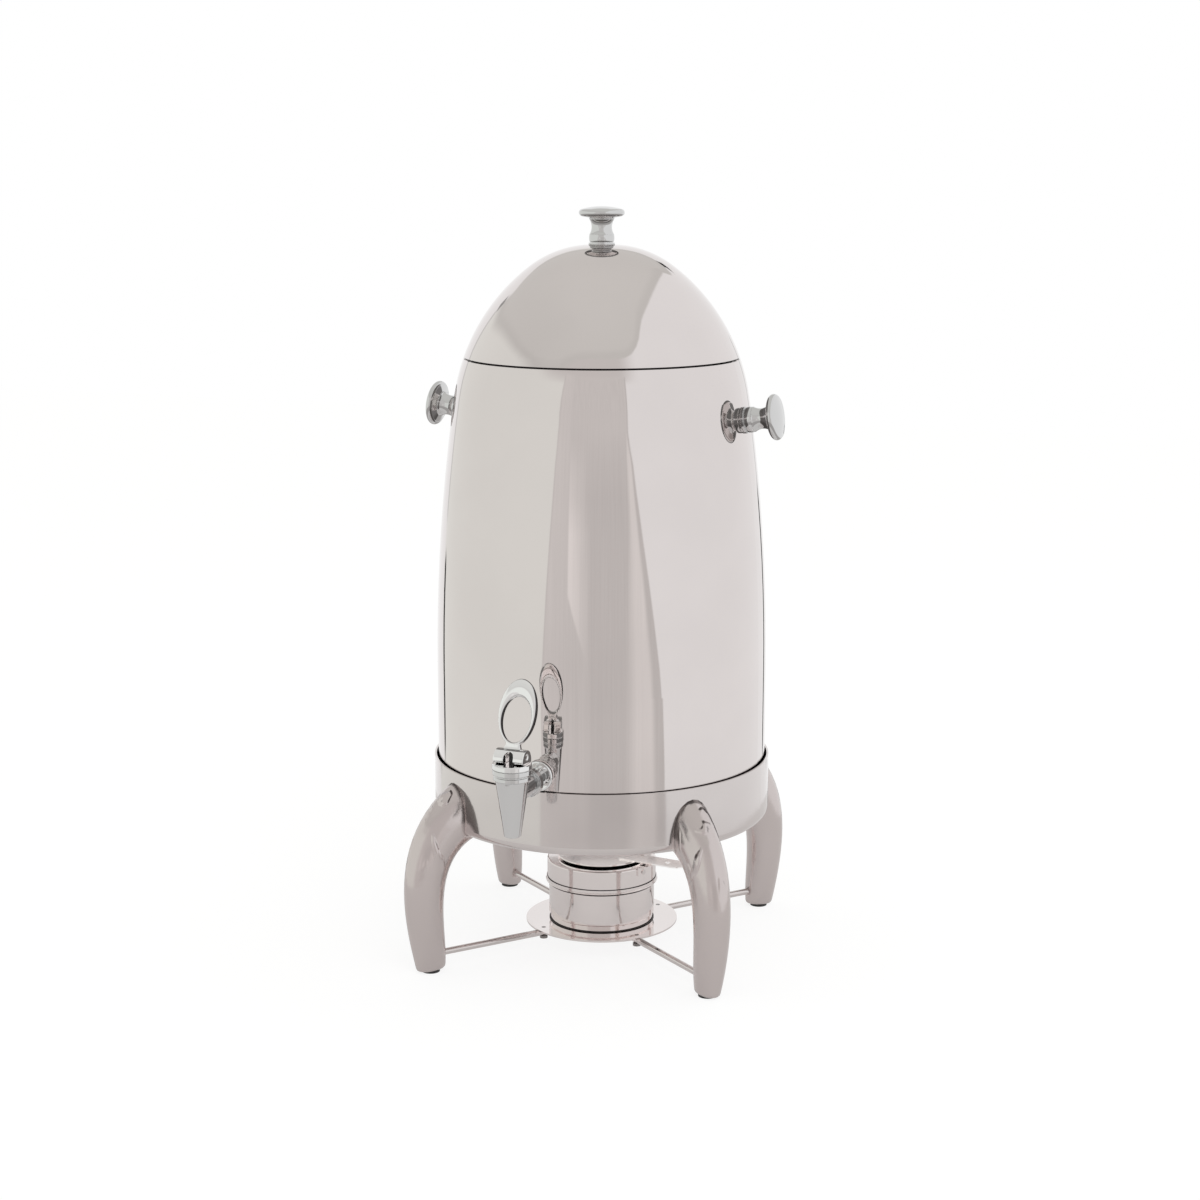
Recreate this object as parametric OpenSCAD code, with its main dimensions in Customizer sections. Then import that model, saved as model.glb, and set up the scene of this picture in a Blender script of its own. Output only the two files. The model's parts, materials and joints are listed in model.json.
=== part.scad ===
// Coffee urn: a lift-out vessel with a lid and a lever faucet, in a ring stand
// on four horn-shaped legs, over a burner plate with a covered fuel holder.
// Millimetres. +Z is up, the faucet points along -Y, the side handles along X.
// The origin is on the floor, on the axis of the vessel.

/* [Vessel] */
// Radius of the straight barrel of the vessel
barrel_r = 149.2; // [140:0.1:160]
// Height at which the barrel starts to curve in
belly_z = 262; // [240:1:290]
// Radius of the long curve of the wall
belly_r = 1660; // [1400:10:2200]
// Height at which the wall turns over into the shoulder
shoulder_z = 506; // [495:1:515]
// Radius of the shoulder curve
shoulder_r = 175; // [165:1:190]
// Height at which the shoulder turns over into the crown of the lid
crown_z = 620; // [610:1:626]
// Radius of the crown of the lid
crown_r = 92; // [80:1:100]
// Sheet thickness of the vessel
wall_t = 1.2; // [0.8:0.1:2]
// Radius of the corner between wall and bottom
base_corner_r = 8; // [5:0.5:12]
// Radius inside which the bottom plate is dished
dish_r = 122; // [100:1:128]
// Rise of the dished bottom at its centre
dish_rise = 6; // [3:0.5:10]
// Height of the seam between vessel and lid
seam_z = 540; // [532:1:548]
// Open height of the seam
seam_gap = 1.6; // [1:0.1:3]
// Width of the ledge round the mouth
ledge_w = 9.6; // [8.6:0.1:20]
// Depth of the turned-down lip round the mouth
lip_h = 10; // [6:1:14]

/* [Lid] */
// Sheet thickness of the lid
lid_t = 1.2; // [0.8:0.1:2]
// Depth of the lid's skirt below the mouth
skirt_h = 15; // [8:1:24]
// Width of the ring on which the lid sits
lid_seat_w = 6; // [4:0.5:8]

/* [Knobs] */
// Height of a knob
knob_h = 33.6; // [28:0.1:40]
// Radius of a knob's head
knob_r = 20.2; // [18:0.2:24]
// Radius of a knob's neck
knob_neck_r = 9; // [7:0.1:10]
// Radius of a knob's belly
knob_belly_r = 11.2; // [10.2:0.1:12]
// Radius of a knob's foot
knob_foot_r = 11.6; // [11:0.1:15]
// Height of the side knobs' centres
handle_z = 489; // [470:1:498]
// Radius of a knob's screw
knob_screw_r = 2.5; // [2:0.1:3]
// Depth to which a screw enters a knob
knob_screw_in = 16; // [8:1:20]

/* [Stand] */
// Turn of the stand about the vessel's axis
stand_turn = 7; // [-15:0.5:15]
// Height of the underside of the ring
ring_z = 124; // [120:1:130]
// Height of the ring's band
ring_h = 56; // [44:1:64]
// Sheet thickness of the ring
ring_t = 1.7; // [1.2:0.1:2.5]
// Open width between ring and vessel
ring_gap = 1.8; // [1.6:0.1:3]
// Radius of the ring's lower corner
ring_corner_r = 8; // [5:0.5:10]
// Width of the shelf that carries the vessel
shelf_w = 25; // [18:1:30]
// Distance of the feet outside the ring
foot_out = 25.3; // [20:0.1:33]
// Height of a foot pad
pad_t = 2; // [1:0.5:4]
// Radius of a foot pad
pad_r = 8; // [5:0.5:9]
// Height of the legs' screws
leg_screw_z = 146; // [140:1:154]
// Radius of the legs' screws
leg_screw_r = 2.5; // [2:0.1:3]

/* [Burner] */
// Height of the top of the burner plate
plate_z = 20; // [16:0.5:26]
// Radius of the burner plate
plate_r = 70; // [62:1:80]
// Sheet thickness of the burner plate
plate_t = 1.5; // [1:0.1:2.5]
// Depth of the pressed seat in the plate
plate_seat = 0.6; // [0.3:0.1:1]
// Radius of a rod
rod_r = 3; // [2.5:0.1:4]
// Radius at which the rods end under the plate
rod_in_r = 55; // [50:1:58]
// Depth to which a rod enters its leg
rod_in = 9; // [5:1:14]
// Radius at which the rods are screwed to the plate
rod_screw_at = 62; // [59:0.5:64]
// Outer radius of the fuel cup
cup_r = 48.6; // [44:0.1:54]
// Height of the fuel cup
cup_h = 58.2; // [50:0.1:66]
// Height of the cup's narrower foot
cup_foot_h = 6; // [4:0.5:10]
// Sheet thickness of cup and cover
cup_t = 0.8; // [0.6:0.1:1.2]
// Height of the cover's skirt
cover_h = 21.6; // [16:0.1:26]
// Height of the cover's hem
hem_h = 4; // [3:0.5:6]
// Thickness of the hem outside the skirt
hem_t = 1; // [0.4:0.1:1.5]
// Radius of the flame hole
flame_r = 30; // [20:1:33]
// Radius of the damper plate
damper_r = 40; // [36:0.5:43]
// Open height between the cover and the damper plate
damper_gap = 1.8; // [0.6:0.1:3]
// Thickness of the damper plate and its handle
damper_t = 1.2; // [0.8:0.1:1.6]
// Reach of the damper's handle from the axis
damper_reach = 87; // [75:1:100]
// Width of the damper's handle
damper_w = 20; // [14:0.5:24]

/* [Faucet] */
// Distance of the spout's axis from the vessel's wall
spout_reach = 58.8; // [52:0.1:70]
// Height of the faucet's shank
shank_z = 194; // [192:0.5:196]
// Outer radius of the shank
shank_r = 8; // [7:0.1:9]
// Radius of the waterway
water_r = 5.2; // [4:0.1:5.8]
// Open height between the shank's flange and the stand's ring
flange_gap = 0.6; // [0.4:0.1:3]
// Height of the spout's mouth
spout_z = 156.5; // [154:0.5:160]
// Outer radius of the spout's mouth
spout_r = 7.2; // [6.8:0.1:9]
// Outer radius of the body under its collar
body_r = 14.1; // [13.5:0.1:15]
// Height of the valve seat
valve_z = 176; // [174:0.5:178]
// Radius of the valve chamber
chamber_r = 8.6; // [8:0.1:9]
// Radius of the bonnet
bonnet_r = 16.6; // [16:0.1:20]
// Height of the top of the bonnet
bonnet_z = 220; // [218:0.5:222]
// Height of the lever's pin above the bonnet
pin_rise = 6; // [5.5:0.1:7]
// Radius of the lever's pin
pin_r = 1.5; // [1:0.1:1.6]
// Radius of the valve stem
stem_r = 2.5; // [2.4:0.1:3]
// Lift of the valve at full tilt
valve_lift = 3; // [1:0.1:3.5]
// Full tilt of the lever
lever_tilt = 45; // [30:1:50]
// Length of the lever's hub
hub_w = 27; // [22:0.5:30]
// Half width of the lever's ring
loop_w = 17.4; // [15:0.1:22]
// Half height of the lever's ring
loop_h = 28.8; // [24:0.1:34]
// Backward lean of the lever's ring at rest
loop_lean = 22; // [0:1:30]
// Wire radius of the closing spring
wire_r = 0.5; // [0.4:0.05:0.7]
// Turns of the closing spring
spring_turns = 6; // [4:1:8]

/* [Hidden] */

$fn = 96;
// Facets on the large circles of the profile, and on small round parts
fine = 720;
small = 48;
// Reach of a cutting solid past what it cuts
past = 50;

// Clearances
fit = 0.05;
slip = 0.8;
touch = 0.1;

STEEL = "gainsboro";
CHROME = "whitesmoke";
SATIN = "lightgray";
SEAL = "dimgray";

// Compass of the stand: the turn of each leg from the front, and of each side knob
LEG_TURNS = [for (i = [0 : 3]) stand_turn - 45 + 90 * i];
HANDLE_TURNS = [-90, 90];

// The wall is one chain of tangent arcs: barrel, belly, shoulder, crown
belly_c = [barrel_r - belly_r, belly_z];
shoulder_turn = asin((shoulder_z - belly_c.y) / belly_r);
shoulder_c = belly_c + (belly_r - shoulder_r) * [cos(shoulder_turn), sin(shoulder_turn)];
crown_turn = asin((crown_z - shoulder_c.y) / shoulder_r);
crown_c = shoulder_c + (shoulder_r - crown_r) * [cos(crown_turn), sin(crown_turn)];
apex_z = crown_c.y + sqrt(pow(crown_r, 2) - pow(crown_c.x, 2));
function shoulder_join(inset) = belly_c.y + (belly_r - inset) * sin(shoulder_turn);
function crown_join(inset) = shoulder_c.y + (shoulder_r - inset) * sin(crown_turn);
function belly_radius(z, inset) = belly_c.x + sqrt(pow(belly_r - inset, 2) - pow(z - belly_c.y, 2));
function shoulder_radius(z, inset) = shoulder_c.x + sqrt(pow(shoulder_r - inset, 2) - pow(z - shoulder_c.y, 2));
function wall_radius(z, inset = 0) =
    z <= belly_z ? barrel_r - inset :
    z <= shoulder_join(inset) ? belly_radius(z, inset) : shoulder_radius(z, inset);

// Ring and vessel base
ring_in_r = barrel_r + ring_gap;
ring_out_r = ring_in_r + ring_t;
ring_top = ring_z + ring_h;
vessel_z = ring_z + ring_t;
vessel_flange_r = barrel_r - base_corner_r - 12;
bottom_r = barrel_r - base_corner_r - 1;
dish_big_r = (pow(dish_r, 2) + pow(dish_rise, 2)) / (2 * dish_rise);
rim_z = seam_z - seam_gap / 2;
lid_z = seam_z + seam_gap / 2;
lip_bend_r = 2 * wall_t;
mouth_r = wall_radius(rim_z) - wall_t - ledge_w;
skirt_r = mouth_r - slip;
lid_seat_r = skirt_r - lid_t + lid_seat_w;

// Legs: control points of the centre line (radius, height), of the depth and of the width
foot_r = ring_out_r + foot_out;
LEG_LINE = [
    [ring_out_r - 25.7, ring_z + 27], [ring_out_r + 55.3, ring_z - 1], [foot_r + 1, 36], [foot_r, pad_t]
];
LEG_DEPTH = [30, 16.5, 19, 13.5];
LEG_WIDTH = [21, 13.5, 17.5, 9.8];
leg_edge_r = 3;
leg_rings = 26;
leg_sides = 24;
leg_reach_in = 20;
screw_head_t = 1;
screw_head_r = 4.5;
leg_screw_in = 14;

// Burner
rod_z = plate_z - plate_t - rod_r;
rod_screw_r = 2;
rod_screw_head_r = 3.6;
rod_screw_head_t = 2.4;
rod_leg_r = foot_r - 13;
cup_z = plate_z - plate_seat;
cup_top = cup_z + cup_h;
cup_foot_r = cup_r - 1.2;
cover_r = cup_r + cup_t + slip;
cover_top = cup_top + cup_t;
cover_corner_r = 1.6;
damper_z = cover_top + damper_gap;
handle_plate_z = damper_z + damper_t;
damper_turn = -8;
damper_off = -0.8;
damper_hole_at = 69.5;
damper_hole_r = 2.6;
damper_root = 24;
pivot_at = [39.3, 4.5];
pivot_r = 2;
pivot_lug_r = 7.5;
bracket_turn = 69;
bracket_w = 14;
bracket_h = damper_gap + 7.2;
bracket_reach = 7;
bracket_t = 1;
bracket_rivet_r = 1.5;
bracket_rivet_z = cover_top - 5;

// Knobs
knob_groove_r = knob_belly_r - 1;
knob_barrel_r = 15;
knob_throat_r = knob_belly_r;
knob_cove_r = 11.6;
knob_rim_r = 3.3;
knob_head_h = 10.4;
washer_t = 1;
washer_r = 9;
knob_screw_head_r = 4.5;
knob_screw_head_t = 2;
handle_lean = asin((handle_z - belly_c.y) / belly_r);

// Faucet
wall_y = barrel_r;
seal_t = 1.2;
flange_t = 3;
nut_h = 6;
nut_r = 14;
inner_seal_t = 3.4;
flange_r = shank_z - ring_top - flange_gap;
shank_in = 17;
socket_in = 7;
spout_y = wall_y + spout_reach;
shank_free = 18;
body_back = wall_y + shank_free;
collar_z = bonnet_z - 15;
body_top = bonnet_z - 5;
plug_h = 8;
stem_bore_r = stem_r + fit;
cup_seal_r = chamber_r - 0.5;
cup_seal_h = 6.5;
stem_collar_r = 6.6;
stem_collar_h = 2.5;
pin_z = bonnet_z + pin_rise;
stem_top = pin_z + 3;
eye_t = 3.4;
spring_r = 5.2;
spring_bottom = valve_z + cup_seal_h + stem_collar_h;
spring_top = body_top - plug_h;
spring_sides = 6;
spring_steps = 16;
slot_w = 8.4;
heel_gap = 0.05;
lift_rate = valve_lift / (lever_tilt * PI / 180);
heel_r = pin_rise - heel_gap;
hub_drop = 3.8;
hub_r = 9.8;
pin_seat_r = 2.6;
pin_seat_in = 1.4;
loop_bottom = 8.2;
loop_eye = [12.5, 19.1];
loop_foot = 3;
loop_t = 3.2;
loop_steps = 40;
loop_sides = 12;

module turned() {
    rotate_extrude() children();
}

// Turns children made in front, along -Y, to a compass angle
module around(turn) {
    rotate([0, 0, turn]) children();
}

// A cylinder along -Y, from one distance to another
module spoke(r, from, to) {
    translate([0, -from, 0]) rotate([90, 0, 0]) cylinder(r = r, h = to - from, $fn = small);
}

// Area between the axis and an arc, from one height to another
module arc_area(centre, r, low, high) {
    intersection() {
        translate(centre) circle(r, $fn = fine);
        translate([0, low]) square([barrel_r, high - low]);
    }
}

// Area inside the wall's profile, set in by inset, from one height to another
module profile_area(inset, low, high) {
    join_1 = shoulder_join(inset);
    join_2 = crown_join(inset);
    if (low < belly_z)
        translate([0, low]) square([barrel_r - inset, min(high, belly_z) - low]);
    if (high > belly_z && low < join_1)
        arc_area(belly_c, belly_r - inset, max(low, belly_z), min(high, join_1));
    if (high > join_1 && low < join_2)
        arc_area(shoulder_c, shoulder_r - inset, max(low, join_1), min(high, join_2));
    if (high > join_2)
        arc_area(crown_c, crown_r - inset, max(low, join_2), high);
}

// Area of a can with a rounded lower corner: outer radius, base height, corner radius, top height
module can_area(r, base, corner, top, inset = 0) {
    translate([0, base + corner]) square([r - inset, top - base - corner]);
    translate([0, base + inset]) square([r - corner, corner]);
    translate([r - corner, base + corner]) circle(corner - inset, $fn = small);
}

module vessel_area(inset, top) {
    can_area(barrel_r, vessel_z, base_corner_r, belly_z, inset);
    profile_area(inset, belly_z, top);
}

// The vessel and lid as one solid, for pieces shaped to their surface
module outer_form() {
    turned() {
        vessel_area(0, seam_z);
        profile_area(0, seam_z, apex_z + 1);
    }
}

// ---- Stand ----

module ring_area(inset) {
    can_area(ring_out_r, ring_z, ring_corner_r, ring_top, inset);
}

module leg_screw_holes(r, depth) {
    for (turn = LEG_TURNS)
        around(turn) translate([0, 0, leg_screw_z]) spoke(r, ring_in_r - 1, ring_in_r + depth);
}

module base_ring() {
    color(SATIN) difference() {
        turned() difference() {
            ring_area(0);
            can_area(ring_out_r, ring_z, ring_corner_r, ring_top + 1, ring_t);
            square([ring_out_r - shelf_w, ring_top]);
        }
        leg_screw_holes(leg_screw_r + fit, ring_t + 1);
    }
}

function bezier(p, t) =
    pow(1 - t, 3) * p[0] + 3 * pow(1 - t, 2) * t * p[1] + 3 * (1 - t) * t * t * p[2] + pow(t, 3) * p[3];
function slope(p, t) =
    pow(1 - t, 2) * (p[1] - p[0]) + 2 * (1 - t) * t * (p[2] - p[1]) + t * t * (p[3] - p[2]);
// One ring of the horn: an ellipse square to the centre line, shrunk and pushed on at the rounded foot
function leg_ring(t, shrink = 0, push = 0) = let(
        along = slope(LEG_LINE, t) / norm(slope(LEG_LINE, t)),
        centre = bezier(LEG_LINE, t) + push * along,
        depth = bezier(LEG_DEPTH, t) - shrink,
        width = bezier(LEG_WIDTH, t) - shrink
    ) [for (i = [0 : leg_sides - 1]) let(
        a = 360 * i / leg_sides,
        r = centre.x - depth * cos(a) * along.y,
        z = centre.y + depth * cos(a) * along.x
    ) [width * sin(a), -r, z]];

// Skin over a stack of rings with equal counts of points; closed joins the last ring to the first
module skin(rings, closed = false) {
    n = len(rings[0]);
    m = len(rings);
    sides = [for (j = [0 : m - (closed ? 1 : 2)], i = [0 : n - 1]) let(k = (i + 1) % n, q = (j + 1) % m)
        [j * n + i, j * n + k, q * n + k, q * n + i]];
    ends = closed ? [] : [[for (i = [n - 1 : -1 : 0]) i], [for (i = [0 : n - 1]) (m - 1) * n + i]];
    polyhedron(points = [for (ring = rings, p = ring) p], faces = concat(ends, sides), convexity = 6);
}

module horn() {
    straight = [for (i = [0 : leg_rings]) leg_ring(i / leg_rings * 0.97)];
    foot = [for (a = [30 : 30 : 90]) leg_ring(0.97, leg_edge_r * (1 - cos(a)), leg_edge_r * sin(a))];
    skin(concat(straight, foot));
}

module leg(turn) {
    color(SATIN) difference() {
        around(turn) horn();
        turned() can_area(ring_out_r, ring_z, ring_corner_r, ring_top + past);
        cylinder(r = ring_out_r - leg_reach_in, h = ring_top);
        around(turn) translate([0, 0, leg_screw_z])
            spoke(leg_screw_r + fit, ring_in_r, ring_out_r + leg_screw_in);
        around(turn) translate([0, 0, rod_z]) spoke(rod_r + fit, rod_leg_r - 10, rod_leg_r + rod_in + 1);
        translate([0, 0, pad_t - past]) cylinder(r = 2 * foot_r, h = past);
    }
}

module leg_front_left() {
    leg(LEG_TURNS[0]);
}

module leg_front_right() {
    leg(LEG_TURNS[1]);
}

module leg_back_right() {
    leg(LEG_TURNS[2]);
}

module leg_back_left() {
    leg(LEG_TURNS[3]);
}

module foot_pads() {
    color(SEAL) for (turn = LEG_TURNS)
        around(turn) translate([0, -foot_r, 0]) cylinder(r = pad_r, h = pad_t, $fn = small);
}

module leg_screws() {
    head_r = ring_in_r - touch;
    color(SATIN) for (turn = LEG_TURNS)
        around(turn) translate([0, 0, leg_screw_z]) {
            spoke(screw_head_r, head_r - screw_head_t, head_r);
            spoke(leg_screw_r, head_r, ring_out_r + leg_screw_in - 1);
        }
}

// ---- Burner ----

module rod(turn) {
    color(STEEL) around(turn) difference() {
        translate([0, 0, rod_z]) spoke(rod_r, rod_in_r, rod_leg_r + rod_in);
        translate([0, -rod_screw_at, 0]) cylinder(r = rod_screw_r + fit, h = plate_z, $fn = small);
    }
}

module rod_front_left() {
    rod(LEG_TURNS[0]);
}

module rod_front_right() {
    rod(LEG_TURNS[1]);
}

module rod_back_right() {
    rod(LEG_TURNS[2]);
}

module rod_back_left() {
    rod(LEG_TURNS[3]);
}

module rod_screws() {
    head_top = rod_z - rod_r;
    color(STEEL) for (turn = LEG_TURNS)
        around(turn) translate([0, -rod_screw_at, 0]) {
            translate([0, 0, head_top - rod_screw_head_t])
                cylinder(r = rod_screw_head_r, h = rod_screw_head_t, $fn = small);
            translate([0, 0, head_top]) cylinder(r = rod_screw_r, h = plate_z - head_top - touch, $fn = small);
        }
}

module burner_plate() {
    color(STEEL) difference() {
        translate([0, 0, plate_z - plate_t]) cylinder(r = plate_r, h = plate_t);
        translate([0, 0, cup_z]) cylinder(r = cup_foot_r + touch, h = plate_t);
        for (turn = LEG_TURNS)
            around(turn) translate([0, -rod_screw_at, 0])
                cylinder(r = rod_screw_r + fit, h = plate_z + 1, $fn = small);
    }
}

// Cup outline: a narrower foot, a short cone and the wall
module cup_area(inset, top) {
    step_z = cup_z + cup_foot_h;
    polygon([
        [0, cup_z + inset], [cup_foot_r - inset, cup_z + inset], [cup_foot_r - inset, step_z],
        [cup_r - inset, step_z + cup_r - cup_foot_r], [cup_r - inset, top], [0, top]
    ]);
}

module fuel_cup() {
    color(STEEL) turned() difference() {
        cup_area(0, cup_top);
        cup_area(cup_t, cup_top + 1);
    }
}

// Cover outline: flat top with a rounded edge over a skirt
module cover_area(inset, low) {
    r = cover_r - cover_corner_r;
    z = cover_top - cover_corner_r;
    translate([0, low]) square([cover_r - inset, z - low]);
    square([r, cover_top - inset]);
    translate([r, z]) circle(cover_corner_r - inset, $fn = small);
}

module fuel_cover() {
    low = cover_top - cover_h;
    color(STEEL) difference() {
        turned() {
            difference() {
                intersection() {
                    cover_area(0, low);
                    translate([0, low]) square([cover_r, cover_h]);
                }
                cover_area(cup_t, low - 1);
                square([flame_r, cover_top + 1]);
            }
            translate([cover_r - touch, low]) square([hem_t + touch, hem_h]);
        }
        translate([pivot_at.x, pivot_at.y, cover_top - 2 * cup_t])
            cylinder(r = pivot_r - 0.5 + fit, h = 3 * cup_t, $fn = small);
        around(bracket_turn) translate([0, 0, bracket_rivet_z])
            spoke(bracket_rivet_r + fit, cover_r - 3, cover_r + 3);
    }
}

// Angle bracket on the cover's side, under the damper's handle
module damper_bracket() {
    top = damper_z - 0.2;
    face = sqrt(pow(cover_r, 2) - pow(bracket_w / 2, 2));
    color(STEEL) around(bracket_turn) difference() {
        translate([-bracket_w / 2, -cover_r - bracket_reach, top - bracket_h]) difference() {
            cube([bracket_w, cover_r + bracket_reach - face, bracket_h]);
            translate([-1, -1, -1])
                cube([bracket_w + 2, bracket_reach + 1 - bracket_t, bracket_h + 1 - bracket_t]);
        }
        cylinder(r = cover_r + fit, h = cover_top + 1);
        translate([0, 0, bracket_rivet_z]) spoke(bracket_rivet_r + fit, cover_r - 3, cover_r + 9);
    }
}

module bracket_rivet() {
    color(STEEL) around(bracket_turn) translate([0, 0, bracket_rivet_z]) {
        spoke(bracket_rivet_r, cover_r - cup_t, cover_r + bracket_t);
        spoke(bracket_rivet_r + 0.8, cover_r + bracket_t, cover_r + bracket_t + 0.8);
    }
}

module damper_plate() {
    color(STEEL) translate([0, 0, damper_z]) difference() {
        union() {
            cylinder(r = damper_r, h = damper_t);
            translate(pivot_at) cylinder(r = pivot_lug_r, h = damper_t, $fn = small);
        }
        translate([pivot_at.x, pivot_at.y, -1]) cylinder(r = pivot_r + fit, h = damper_t + 2, $fn = small);
    }
}

// Outline of the handle: a strip with a round end, and a round lug at the pivot
module damper_handle_area() {
    end = damper_reach - damper_w / 2;
    translate([0, damper_off]) rotate(damper_turn) difference() {
        union() {
            translate([damper_root, -damper_w / 2]) square([end - damper_root, damper_w]);
            translate([end, 0]) circle(damper_w / 2);
        }
        translate([damper_hole_at, 0]) circle(damper_hole_r, $fn = small);
    }
    translate(pivot_at) circle(pivot_lug_r, $fn = small);
}

module damper_handle() {
    color(STEEL) translate([0, 0, handle_plate_z]) difference() {
        linear_extrude(damper_t) damper_handle_area();
        translate([pivot_at.x, pivot_at.y, -1]) cylinder(r = pivot_r + fit, h = damper_t + 2, $fn = small);
    }
}

module damper_pivot() {
    top = handle_plate_z + damper_t;
    color(STEEL) translate([pivot_at.x, pivot_at.y, 0]) {
        translate([0, 0, cover_top - cup_t - 0.8]) cylinder(r = pivot_r + 1, h = 0.8, $fn = small);
        translate([0, 0, cover_top - cup_t]) cylinder(r = pivot_r - 0.5, h = cup_t, $fn = small);
        translate([0, 0, cover_top]) cylinder(r = pivot_r, h = top - cover_top + touch, $fn = small);
        translate([0, 0, top + touch]) cylinder(r = pivot_r + 1.2, h = 1, $fn = small);
    }
}

// ---- Vessel ----

// Places children made along +Z at a side knob: base on the wall, square to it
module at_handle(turn) {
    around(turn) translate([0, -wall_radius(handle_z), handle_z]) rotate([90 - handle_lean, 0, 0]) children();
}

module vessel_wall() {
    color(STEEL) difference() {
        turned() difference() {
            vessel_area(0, rim_z);
            vessel_area(wall_t, rim_z + 1);
            square([vessel_flange_r, vessel_z + 2 * wall_t]);
        }
        translate([0, 0, shank_z]) spoke(shank_r + touch, wall_y - past, wall_y + 1);
        for (turn = HANDLE_TURNS)
            at_handle(turn) translate([0, 0, -10])
                cylinder(r = knob_screw_r + touch, h = 11, $fn = small);
    }
}

// Bottom plate: a flat margin on the wall's flange and a shallow dish
module vessel_bottom() {
    low = vessel_z + wall_t;
    dish_c = low + dish_rise - dish_big_r;
    color(STEEL) turned() difference() {
        union() {
            translate([0, low]) square([bottom_r, wall_t]);
            intersection() {
                translate([0, dish_c]) circle(dish_big_r + wall_t, $fn = fine);
                translate([0, low]) square([dish_r, 2 * dish_rise]);
            }
        }
        intersection() {
            translate([0, dish_c]) circle(dish_big_r, $fn = fine);
            translate([0, low - 1]) square([dish_r, 2 * dish_rise]);
        }
    }
}

// Ring welded into the top of the wall: a flat ledge for the lid and a turned-down lip
module vessel_rim() {
    bend = [mouth_r + lip_bend_r, rim_z - lip_bend_r];
    color(STEEL) turned() intersection() {
        profile_area(wall_t + fit, rim_z - lip_h - 1, rim_z);
        union() {
            translate([bend.x, rim_z - wall_t]) square([barrel_r, wall_t]);
            translate([mouth_r, rim_z - lip_h]) square([wall_t, lip_h - lip_bend_r]);
            intersection() {
                translate(bend) difference() {
                    circle(lip_bend_r, $fn = small);
                    circle(lip_bend_r - wall_t, $fn = small);
                }
                translate([mouth_r, bend.y]) square(lip_bend_r);
            }
        }
    }
}

// Half section of a knob: foot, groove, barrel belly, waisted neck and a head with a round rim.
// The crown of the head runs on from the rim without a corner.
module knob_area() {
    foot_h = 2;
    belly_low = foot_h + 1;
    head_low = knob_h - knob_head_h;
    neck_at = head_low - 7.6;
    belly_high = neck_at - 6.6;
    rim_at = [knob_r - knob_rim_r, head_low + 1.5 + knob_rim_r];
    crown_rise = knob_h - rim_at.y;
    crown_r = (pow(norm([rim_at.x, crown_rise]), 2) - pow(knob_rim_r, 2)) / (2 * (crown_rise - knob_rim_r));
    translate([0, -foot_h]) square([knob_foot_r, 2 * foot_h]);
    square([knob_groove_r, belly_low]);
    intersection() {
        translate([0, belly_low]) square([knob_belly_r, belly_high - belly_low]);
        translate([knob_belly_r - knob_barrel_r, 2 * belly_low]) circle(knob_barrel_r);
    }
    difference() {
        translate([0, belly_high]) square([knob_throat_r, head_low - belly_high]);
        translate([knob_neck_r + knob_cove_r, neck_at]) circle(knob_cove_r);
    }
    polygon([
        [0, head_low], [knob_throat_r, head_low], [rim_at.x, rim_at.y - knob_rim_r],
        [rim_at.x, rim_at.y + knob_rim_r], [0, rim_at.y + knob_rim_r]
    ]);
    translate(rim_at) circle(knob_rim_r, $fn = small);
    intersection() {
        translate([0, knob_h - crown_r]) circle(crown_r, $fn = fine);
        translate([0, rim_at.y]) square([rim_at.x * crown_r / (crown_r - knob_rim_r), knob_head_h]);
    }
}

module knob() {
    difference() {
        turned() knob_area();
        translate([0, 0, -3]) cylinder(r = knob_screw_r + fit, h = knob_screw_in + 4, $fn = small);
    }
}

// Screw along +Z: head under the wall, shank through it
module knob_fastener(wall) {
    head = -wall - washer_gap() - washer_t;
    translate([0, 0, head - knob_screw_head_t])
        cylinder(r = knob_screw_head_r, h = knob_screw_head_t, $fn = small);
    translate([0, 0, head]) cylinder(r = knob_screw_r, h = knob_screw_in - head, $fn = small);
}

// The washer is flat and the wall behind it is hollow: it stands on its edge
function washer_gap() = 0.6;

module fastener_washer(wall) {
    translate([0, 0, -wall - washer_gap() - washer_t]) difference() {
        cylinder(r = washer_r, h = washer_t, $fn = small);
        translate([0, 0, -1]) cylinder(r = knob_screw_r + touch, h = washer_t + 2, $fn = small);
    }
}

module handle(turn) {
    color(CHROME) difference() {
        at_handle(turn) knob();
        outer_form();
    }
}

module handle_left() {
    handle(HANDLE_TURNS[0]);
}

module handle_right() {
    handle(HANDLE_TURNS[1]);
}

module handle_washers() {
    color(STEEL) for (turn = HANDLE_TURNS) at_handle(turn) fastener_washer(wall_t);
}

module handle_screws() {
    color(STEEL) for (turn = HANDLE_TURNS) at_handle(turn) knob_fastener(wall_t);
}

// ---- Faucet ----

module faucet_shank() {
    flange_y = wall_y + seal_t;
    color(CHROME) translate([0, 0, shank_z]) difference() {
        union() {
            spoke(shank_r, wall_y - shank_in, body_back + socket_in);
            translate([0, -flange_y, 0]) rotate([90, 0, 0]) turned() {
                square([flange_r - flange_t / 2, flange_t]);
                translate([flange_r - flange_t / 2, flange_t / 2]) circle(flange_t / 2, $fn = small);
            }
        }
        spoke(water_r, wall_y - shank_in - 1, body_back + socket_in + 1);
    }
}

module outer_seal() {
    color(SEAL) difference() {
        translate([0, 0, shank_z]) spoke(flange_r - 1.5, wall_y - 3, wall_y + seal_t);
        translate([0, 0, shank_z]) spoke(shank_r + touch, wall_y - 5, wall_y + seal_t + 1);
        cylinder(r = barrel_r, h = belly_z, $fn = fine);
    }
}

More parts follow.
